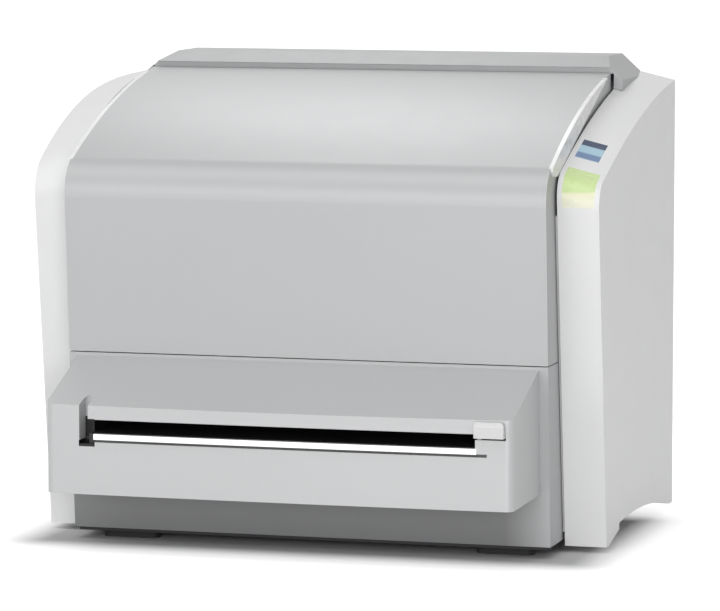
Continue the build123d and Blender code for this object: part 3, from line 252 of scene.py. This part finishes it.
def status_surface():
    """A translucent window, green above and fading to a pale tint below."""
    material, tree, shader = new_shader("status_surface")
    vector = place(tree)
    low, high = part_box("status_light")
    height = spread(tree, axes(tree, vector)["Z"], 0, 1, low.z, high.z)
    glow = colour_ramp(tree, height, [
        (0.0, (0.84, 0.84, 0.72)), (0.36, (0.83, 0.83, 0.60)), (0.42, (0.62, 0.76, 0.37)),
        (0.75, (0.60, 0.75, 0.34)), (1.0, (0.60, 0.74, 0.35)),
    ])
    cloud = noise(tree, vector, 45.0, 2.0)
    tone = blend_colours(tree, spread(tree, cloud, 0.0, 0.05), glow, (0.80, 0.88, 0.62))
    tree.links.new(tone, shader.inputs["Base Color"])
    tree.links.new(tone, shader.inputs["Emission Color"])
    shader.inputs["Emission Strength"].default_value = 0.12
    tree.links.new(spread(tree, noise(tree, vector, 80.0), 0.22, 0.32), shader.inputs["Roughness"])
    shader.inputs["Subsurface Weight"].default_value = 0.15
    shader.inputs["Subsurface Radius"].default_value = (0.002, 0.002, 0.001)
    return material


def circuit_surface():
    """Green board with traces, black where parts stand proud of it."""
    board_thickness, margin = 0.0016, 0.0003
    material, tree, shader = new_shader("circuit_surface")
    vector = place(tree)
    traces = tree.nodes.new("ShaderNodeTexBrick")
    traces.inputs["Scale"].default_value = 60.0
    traces.inputs["Mortar Size"].default_value = 0.03
    traces.inputs["Color1"].default_value = (0.02, 0.16, 0.06, 1)
    traces.inputs["Color2"].default_value = (0.025, 0.20, 0.07, 1)
    traces.inputs["Mortar"].default_value = (0.07, 0.36, 0.13, 1)
    upright = tree.nodes.new("ShaderNodeMapping")
    upright.inputs["Rotation"].default_value = (math.pi / 2, 0, 0)
    tree.links.new(vector, upright.inputs["Vector"])
    tree.links.new(upright.outputs["Vector"], traces.inputs["Vector"])
    board_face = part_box("main_board")[1].y - board_thickness
    proud = calculate(tree, "LESS_THAN", axes(tree, vector)["Y"], board_face - margin)
    tone = blend_colours(tree, proud, traces.outputs["Color"], (0.02, 0.02, 0.022))
    tree.links.new(tone, shader.inputs["Base Color"])
    tree.links.new(spread(tree, noise(tree, vector, 90.0), 0.3, 0.45), shader.inputs["Roughness"])
    return material


def clear_surface(name, colour, rough):
    """Clear plastic or glass."""
    material, tree, shader = new_shader(name)
    vector = place(tree)
    cloud = spread(tree, noise(tree, vector, 30.0), 0, 1)
    tree.links.new(blend_colours(tree, cloud, shade(colour, 0.97), colour), shader.inputs["Base Color"])
    gloss = spread(tree, noise(tree, vector, 120.0), rough, rough + 0.05)
    tree.links.new(gloss, shader.inputs["Roughness"])
    shader.inputs["Transmission Weight"].default_value = 0.85
    shader.inputs["IOR"].default_value = 1.49
    return material


# Colours and places of painted patches, in metres

silver_tone = (0.48, 0.485, 0.49)
# Painted light: the bezel has the hood's silver paint, made lighter here for the stronger light that falls on
# its front
bezel_lit_tone = (0.57, 0.575, 0.58)
fitting_black = (0.022, 0.022, 0.024)
# Painted shade for the hollows of the bezel
painted_hollow_shade = (0.003, 0.003, 0.003)
# Painted shade under the reader
painted_underside_shade = (0.04, 0.04, 0.042)
mark_white = (0.75, 0.75, 0.75)

notch_left, notch_right, slot_end = -0.2010, -0.1914, -0.1845
notch_back, mouth_front, mouth_foot, slot_top = -0.2100, -0.2345, 0.1100, 0.1372
bezel_shade_patches = [
    # Painted shade, in black: the notch's back wall at the slot's height, its foot, and the slot's end beside
    # it
    ((notch_left, -0.2156, mouth_foot), (notch_right, notch_back, slot_top), painted_hollow_shade),
    ((notch_left, mouth_front, mouth_foot), (notch_right, notch_back, 0.1160), painted_hollow_shade),
    ((notch_right, mouth_front, mouth_foot), (slot_end, -0.2000, slot_top), painted_hollow_shade),
    # The shadow line under the slot's lip
    ((-0.2000, -0.2358, 0.1143), (0.2100, -0.2000, 0.1173), (0.06, 0.06, 0.062)),
]

pin_spots = ((0.143, 0.058), (0.150, 0.062), (0.157, 0.058))
pin_wide, pin_high = 0.00102, 0.00202
pin_patches = [
    ((x - pin_wide, 0.2230, z - pin_high), (x + pin_wide, 0.2372, z + pin_high), (0.60, 0.60, 0.62))
    for x, z in pin_spots
]

# A bar and a ring, each as (left, right, bottom, top, colour) on the rocker's face
rocker_face = 0.236
rocker_patches = [
    ((left, rocker_face, bottom), (right, None, top), colour) for left, right, bottom, top, colour in (
        (0.1010, 0.1016, 0.0580, 0.0620, mark_white),
        (0.1068, 0.1102, 0.0580, 0.0620, mark_white),
        (0.1073, 0.1097, 0.0585, 0.0615, fitting_black),
    )
]

# Painted shade: the pan's underside, and its front that shows below the base, painted dark
pan_shade_patches = [
    ((None, None, None), (None, None, 0.0100), painted_underside_shade),
    ((None, None, None), (None, -0.1000, 0.0300), painted_underside_shade),
]


# Materials: roughness, metallic, mottle and its scale, spread of roughness, grain's scale and depth

silver = silver_paint("silver_paint", silver_tone, 0.22)
bezel_silver = silver_paint("bezel_paint", bezel_lit_tone, 0.15, bezel_shade_patches)
fascia_silver = silver_paint("fascia_paint", silver_tone, 0.22)
# Painted shade: the base below the bezel darkened as if in the bezel's shadow
paint_shade_under_bezel(fascia_silver, (0.22, 0.222, 0.225), heights=(0.064, 0.080), ends=(0.200, 0.244))
grey_cover = surface("grey_cover_paint", (0.42, 0.425, 0.43), 0.44, 0.20, 0.015, 4.0, 0.03, 1800.0, 0.00002,
                     speckle=0.08)
white = surface("white_moulding", (0.91, 0.912, 0.915), 0.40, 0.0, 0.012, 5.0, 0.04, 1500.0, 0.00003)
bright_white = surface("bright_trim", (0.92, 0.92, 0.92), 0.28, 0.0, 0.01, 5.0, 0.03, 1500.0, 0.00001,
                       coat=0.2)
seal_grey = surface("seal_grey", (0.50, 0.50, 0.505), 0.60, 0.0, 0.05, 30.0, 0.06, 900.0, 0.00005)
guide_white = surface("guide_moulding", (0.76, 0.765, 0.76), 0.30, 0.0, 0.015, 9.0, 0.04, 1200.0, 0.00002)
black_moulding = surface("black_moulding", (0.012, 0.012, 0.013), 0.55, 0.0, 0.15, 20.0, 0.08, 900.0, 0.00006)
black_plastic = black_fitting("black_plastic", 0.45, 0.00006)
inlet_plastic = black_fitting("inlet_plastic", 0.45, 0.00006, pin_patches)
rocker_plastic = black_fitting("rocker_plastic", 0.40, 0.00004, rocker_patches)
polished = surface("polished_metal", (0.86, 0.86, 0.87), 0.14, 1.0, 0.02, 30.0, 0.03, 500.0, 0.00001,
                   stretch=(0.05, 1, 1))
zinc = zinc_sheet("zinc_sheet")
pan_zinc = zinc_sheet("pan_sheet", pan_shade_patches)
screw_steel = surface("screw_steel", (0.30, 0.30, 0.31), 0.38, 0.8, 0.06, 80.0, 0.06, 900.0, 0.00001)
rear_paint = surface("rear_paint", (0.44, 0.445, 0.45), 0.50, 0.0, 0.03, 8.0, 0.05, 1000.0, 0.00008)
aluminium = surface("machined_aluminium", (0.70, 0.71, 0.72), 0.30, 1.0, 0.04, 40.0, 0.06, 900.0, 0.00002,
                    stretch=(1, 6, 1))
anodised = surface("black_anodised", (0.03, 0.03, 0.033), 0.40, 0.6, 0.10, 12.0, 0.05, 1300.0, 0.00002)
bronze = surface("bearing_bronze", (0.55, 0.38, 0.16), 0.34, 1.0, 0.06, 60.0, 0.06, 900.0, 0.00002)
brass = surface("gear_brass", (0.66, 0.50, 0.20), 0.28, 1.0, 0.05, 60.0, 0.06, 900.0, 0.00002)
motor_paint = surface("motor_paint", (0.045, 0.045, 0.05), 0.38, 0.2, 0.08, 25.0, 0.06, 1200.0, 0.00004)
rubber = surface("black_rubber", (0.018, 0.018, 0.018), 0.72, 0.0, 0.20, 40.0, 0.08, 700.0, 0.00012)
reflector = surface("eraser_reflector", (0.86, 0.86, 0.84), 0.35, 0.0, 0.02, 10.0, 0.05, 900.0, 0.00002)
acrylic = clear_surface("clear_acrylic", (0.86, 0.92, 0.96), 0.03)
lamp_glass = clear_surface("lamp_glass", (0.96, 0.95, 0.92), 0.25)

looks = {
    "hood": silver,
    "front_fascia": fascia_silver,
    "cassette_bezel": bezel_silver,
    "rear_top_cover": grey_cover,
    "left_side_panel": white,
    "right_side_panel": white,
    "hood_end_trims": bright_white,
    "cassette_guide": guide_white,
    "display_window": display_surface(),
    "status_light": status_surface(),
    "slot_lip": polished,
    "throat_floor": black_moulding,
    "throat_roof": black_moulding,
    "guide_rod": polished,
    "base_pan": pan_zinc,
    "rubber_feet": rubber,
    "left_frame_plate": zinc,
    "right_frame_plate": zinc,
    "frame_tie_bars": aluminium,
    "hood_hinge_arms": aluminium,
    "hinge_brackets": zinc,
    "hinge_pins": polished,
    "rear_panel": rear_paint,
    "drum_bearings": bronze,
    "roller_bushes": bronze,
    "screw_bushes": bronze,
    "drum_shell": anodised,
    "drum_end_caps": aluminium,
    "drum_shaft": polished,
    "drum_pulley": aluminium,
    "drum_belt": rubber,
    "drum_motor": motor_paint,
    "drum_motor_pulley": aluminium,
    "drive_roller": rubber,
    "drive_roller_shaft": polished,
    "drive_gear": brass,
    "feed_pinion": brass,
    "feed_motor": motor_paint,
    "pinch_roller": rubber,
    "pinch_roller_shaft": polished,
    "plate_guide": zinc,
    "carriage_rails": polished,
    "rail_blocks": aluminium,
    "scan_carriage": aluminium,
    "optics_housing": anodised,
    "light_collector": acrylic,
    "photomultiplier": anodised,
    "lead_screw": polished,
    "screw_motor": motor_paint,
    "eraser_housing": reflector,
    "eraser_lamps": lamp_glass,
    "main_board": circuit_surface(),
    "data_ports": black_plastic,
    "power_supply": zinc,
    "power_inlet": inlet_plastic,
    "switch_body": black_plastic,
    "power_rocker": rocker_plastic,
    "fan_frame": black_plastic,
    "fan_rotor": black_plastic,
}

for name, material in looks.items():
    materials = nodes[name].data.materials
    materials.clear()
    materials.append(material)


# Small pieces that the solids leave out


def loft(bm, rings, matrix, caps=True):
    """Skin through rings of equal count, capped at both ends or joined into a loop."""
    rows = [[bm.verts.new(matrix @ Vector(point)) for point in ring] for ring in rings]
    if caps:
        bm.faces.new(rows[0][::-1])
        bm.faces.new(rows[-1])
    else:
        rows.append(rows[0])
    for first, second in zip(rows, rows[1:]):
        for i, corner in enumerate(first):
            j = (i + 1) % len(first)
            bm.faces.new((corner, first[j], second[j], second[i]))


def add_piece(name, bm, material, body):
    """Puts a finished mesh on the body that carries it."""
    bmesh.ops.recalc_face_normals(bm, faces=bm.faces)
    mesh = bpy.data.meshes.new(name)
    bm.to_mesh(mesh)
    bm.free()
    mesh.materials.append(material)
    piece = bpy.data.objects.new(name, mesh)
    scene.collection.objects.link(piece)
    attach(piece, body)
    return piece


def facing(direction):
    """Turns a mesh's own Z to a direction."""
    return Vector(direction).to_track_quat("Z", "Y").to_matrix().to_4x4()


def circle(radius, height, count=24):
    turns = [2 * math.pi * i / count for i in range(count)]
    return [(radius * math.cos(a), radius * math.sin(a), height) for a in turns]


def cross(arm, half, height, count=24):
    """Outline of a cross recess."""
    ring = []
    for i in range(count):
        a = 2 * math.pi * i / count
        off = abs((a + math.pi / 4) % (math.pi / 2) - math.pi / 4)
        reach = min(arm / math.cos(off), half / max(math.sin(off), 1e-6))
        ring.append((reach * math.cos(a), reach * math.sin(a), height))
    return ring


def rectangle(half_width, half_height, height):
    return [(x * half_width, y * half_height, height) for x, y in corners]


def screws(name, places, direction, radius, height, body):
    """Pan-head screws with cross recesses, standing on a face, each turned a little further."""
    sunk, turn_each = -0.0001, 0.7
    bm = bmesh.new()
    for i, spot in enumerate(places):
        matrix = Matrix.Translation(spot) @ facing(direction) @ Matrix.Rotation(turn_each * i, 4, "Z")
        rings = [circle(radius, sunk), circle(radius, 0.35 * height), circle(0.90 * radius, 0.75 * height),
                 circle(0.72 * radius, height), cross(0.58 * radius, 0.15 * radius, height),
                 cross(0.46 * radius, 0.11 * radius, 0.35 * height)]
        loft(bm, rings, matrix)
    add_piece(name, bm, screw_steel, body)


rear_y, pan_z, optics_y = 0.2378, 0.008, -0.1272
fan_x, fan_z, fan_pitch = -0.150, 0.110, 0.03575
sheet_spots = [(s * 0.232, rear_y, z) for s in (-1, 1) for z in (0.030, 0.165, 0.300, 0.428)]
fan_spots = [(fan_x + s * fan_pitch, rear_y, fan_z + t * fan_pitch) for s in (-1, 1) for t in (-1, 1)]
pan_spots = [(s * 0.150, y, pan_z) for s in (-1, 1) for y in (-0.040, 0.060, 0.160)]
optics_spots = [(s * 0.034, optics_y, z) for s in (-1, 1) for z in (0.268, 0.339)]
screws("rear_sheet_screws", sheet_spots, (0, 1, 0), 0.0034, 0.0018, "chassis")
screws("fan_screws", fan_spots, (0, 1, 0), 0.0032, 0.0017, "chassis")
screws("pan_screws", pan_spots, (0, 0, -1), 0.0032, 0.0017, "chassis")
screws("optics_screws", optics_spots, (0, -1, 0), 0.0026, 0.0014, "scan_carriage")


def screw_thread():
    """Four-start lead screw, 20 mm of travel per turn, plain near its bushes."""
    depth, starts, lead, flank, threaded_to = 0.0012, 4, 0.020, 6, 0.215
    count, steps = 32, 560
    low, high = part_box("lead_screw")
    middle = (low + high) / 2
    radius = (high.z - low.z) / 2
    root = radius - depth
    rings = []
    for k in range(steps + 1):
        x = low.x + (high.x - low.x) * k / steps
        ring = []
        for i in range(count):
            a = 2 * math.pi * i / count
            phase = (starts * i / count - starts * x / lead) % 1.0
            rise = min(1.0, max(0.0, flank * (0.5 - abs(phase - 0.5)) - 1))
            r = radius if abs(x) > threaded_to else root + (radius - root) * rise
            ring.append((x, middle.y + r * math.cos(a), middle.z + r * math.sin(a)))
        rings.append(ring)
    bm = bmesh.new()
    loft(bm, rings, Matrix.Identity(4))
    piece = add_piece("lead_screw_thread", bm, polished, "lead_screw")
    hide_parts("lead_screw")


screw_thread()


def port_fittings():
    """A thin metal shell in each data port and eight contacts under its roof."""
    outer, inner = (0.0069, 0.0054), (0.0065, 0.0050)
    mouth, inner_end = -0.0003, -0.0096
    contact_count, pitch, half_wide, half_thick = 8, 0.00102, 0.00022, 0.00012
    contact_path = ((0.0047, -0.0092), (0.0040, -0.0050), (0.0047, -0.0018))
    shells, contacts = bmesh.new(), bmesh.new()
    for x in (-0.043, -0.025, -0.007):
        matrix = Matrix.Translation((x, 0.2383, 0.100)) @ facing((0, 1, 0))
        rings = [rectangle(*outer, mouth), rectangle(*inner, mouth)]
        rings += [rectangle(*inner, inner_end), rectangle(*outer, inner_end)]
        loft(shells, rings, matrix, caps=False)
        for i in range(contact_count):
            across = (i - (contact_count - 1) / 2) * pitch
            rings = [[(across + u * half_wide, height + v * half_thick, depth) for u, v in corners]
                     for height, depth in contact_path]
            loft(contacts, rings, matrix)
    add_piece("port_shells", shells, polished, "chassis")
    add_piece("port_contacts", contacts, brass, "chassis")


port_fittings()


def seal_strip(name, side):
    """Soft bead along a side panel's front edge that closes the gap beside the hood."""
    foot, top = Vector((0, -0.0697, 0.006)), Vector((0, -0.1117, 0.341))
    start, length, steps = 0.014, 0.318, 24
    middle_x, half_wide, depth = 0.2470, 0.0010, 0.0070
    rim, bulge = 0.0012, 0.0011
    along = (top - foot).normalized()
    back = Vector((0, along.z, -along.y))
    turns = [math.radians(t) for t in range(-90, 91, 15)]
    section = [(math.sin(t), rim - bulge * math.cos(t)) for t in turns]
    section += [(1, depth), (-1, depth)]
    rings = []
    for k in range(steps + 1):
        at = foot + along * (start + length * k / steps)
        rings.append([tuple(at + back * deep + Vector((side * middle_x + half_wide * wide, 0, 0)))
                      for wide, deep in section])
    bm = bmesh.new()
    loft(bm, rings, Matrix.Identity(4))
    add_piece(name, bm, seal_grey, "chassis")


seal_strip("right_seal_strip", 1)
seal_strip("left_seal_strip", -1)


# Floor and light


def seen_directly(tree):
    """1 for camera, glossy and transmission rays, 0 for the light that falls on the object."""
    path = tree.nodes.new("ShaderNodeLightPath")
    total = path.outputs["Is Camera Ray"]
    for ray in ("Is Glossy Ray", "Is Transmission Ray"):
        total = calculate(tree, "MAXIMUM", total, path.outputs[ray])
    return total


def floor_surface():
    """White floor that keeps the object's shadow, with a glow seen directly that is nothing at the object's
    footprint and rises away from it, so a painted shadow darkens the floor near the object and the floor
    reads as white away from it.
    """
    footprint, fade_reach = (0.27, 0.138, 0), 0.6
    material, tree, output = empty_material("floor_surface")
    diffuse = tree.nodes.new("ShaderNodeBsdfDiffuse")
    diffuse.inputs["Color"].default_value = (0.64, 0.64, 0.64, 1)
    vector = place(tree)
    for operation, other in (("ABSOLUTE", None), ("SUBTRACT", footprint), ("MAXIMUM", (0, 0, 0))):
        step = tree.nodes.new("ShaderNodeVectorMath")
        step.operation = operation
        tree.links.new(vector, step.inputs[0])
        if other:
            step.inputs[1].default_value = other
        vector = step.outputs["Vector"]
    away = tree.nodes.new("ShaderNodeVectorMath")
    away.operation = "LENGTH"
    tree.links.new(vector, away.inputs[0])
    # Painted shadow: the glow's strength by distance from the footprint
    greys = ((0.0, 0.0), (0.02, 0.16), (0.07, 0.60), (0.13, 0.82), (0.32, 0.92), (1.0, 0.95))
    painted_shadow_fade = colour_ramp(tree, spread(tree, away.outputs["Value"], 0, 1, 0, fade_reach),
                       [(position, (grey, grey, grey)) for position, grey in greys])
    glow = tree.nodes.new("ShaderNodeEmission")
    tree.links.new(calculate(tree, "MULTIPLY", painted_shadow_fade, seen_directly(tree)), glow.inputs["Strength"])
    both = tree.nodes.new("ShaderNodeAddShader")
    tree.links.new(diffuse.outputs["BSDF"], both.inputs[0])
    tree.links.new(glow.outputs["Emission"], both.inputs[1])
    tree.links.new(both.outputs["Shader"], output.inputs["Surface"])
    return material


def make_floor(size):
    mesh = bpy.data.meshes.new("floor")
    mesh.from_pydata(rectangle(size / 2, size / 2, 0), [], [(0, 1, 2, 3)])
    mesh.materials.append(floor_surface())
    piece = bpy.data.objects.new("floor", mesh)
    scene.collection.objects.link(piece)


make_floor(40.0)


def sky(level):
    """White world: full white for the camera, gloss and glass, a plain level for light."""
    world = bpy.data.worlds.new("studio")
    scene.world = world
    world.use_nodes = True
    tree = world.node_tree
    tree.nodes.clear()
    output = tree.nodes.new("ShaderNodeOutputWorld")
    background = tree.nodes.new("ShaderNodeBackground")
    background.inputs["Color"].default_value = (1, 1, 1, 1)
    strength = spread(tree, seen_directly(tree), level, 1.0, 0.0, 1.0)
    tree.links.new(strength, background.inputs["Strength"])
    tree.links.new(background.outputs["Background"], output.inputs["Surface"])


def softbox(name, at, aim, size, power):
    lamp = bpy.data.lights.new(name, "AREA")
    lamp.shape = "RECTANGLE"
    lamp.size, lamp.size_y = size
    lamp.energy = power
    piece = bpy.data.objects.new(name, lamp)
    piece.location = at
    piece.rotation_euler = (Vector(aim) - Vector(at)).to_track_quat("-Z", "Y").to_euler()
    scene.collection.objects.link(piece)


sky(0.38)
softbox("front_box", (-1.0, -2.9, 1.0), (0, 0, 0.25), (2.0, 1.4), 15)
softbox("low_box", (0.9, -3.0, 0.45), (0, 0, 0.2), (1.6, 0.7), 25)
softbox("top_box", (-0.2, -1.1, 2.5), (0, -0.1, 0.3), (2.6, 1.6), 16)
softbox("back_box", (-0.74, 1.9, 2.4), (0, 0, 0.4), (0.7, 0.7), 7)
softbox("right_box", (2.4, 0.4, 1.0), (0, 0, 0.25), (1.2, 1.2), 2)


# Camera, solved from the photograph's straight edges

camera_at = Vector((1.21938, -4.19108, 0.69206))
turn, dip = math.radians(16.0), 0.10545378
focal_pixels, image_width, sensor_width = 4334.42, 720, 36.0
ahead = Vector((-math.sin(turn) * math.cos(dip), math.cos(turn) * math.cos(dip), -math.sin(dip)))
across = Vector((math.cos(turn), math.sin(turn), 0))
up = across.cross(ahead)
lens = bpy.data.cameras.new("camera")
lens.sensor_fit = "HORIZONTAL"
lens.sensor_width = sensor_width
lens.lens = focal_pixels * sensor_width / image_width
lens.clip_end = 100
camera = bpy.data.objects.new("camera", lens)
camera.matrix_world = Matrix((
    (across.x, up.x, -ahead.x, camera_at.x),
    (across.y, up.y, -ahead.y, camera_at.y),
    (across.z, up.z, -ahead.z, camera_at.z),
    (0, 0, 0, 1),
))
scene.collection.objects.link(camera)
scene.camera = camera
scene.view_settings.view_transform = "Standard"
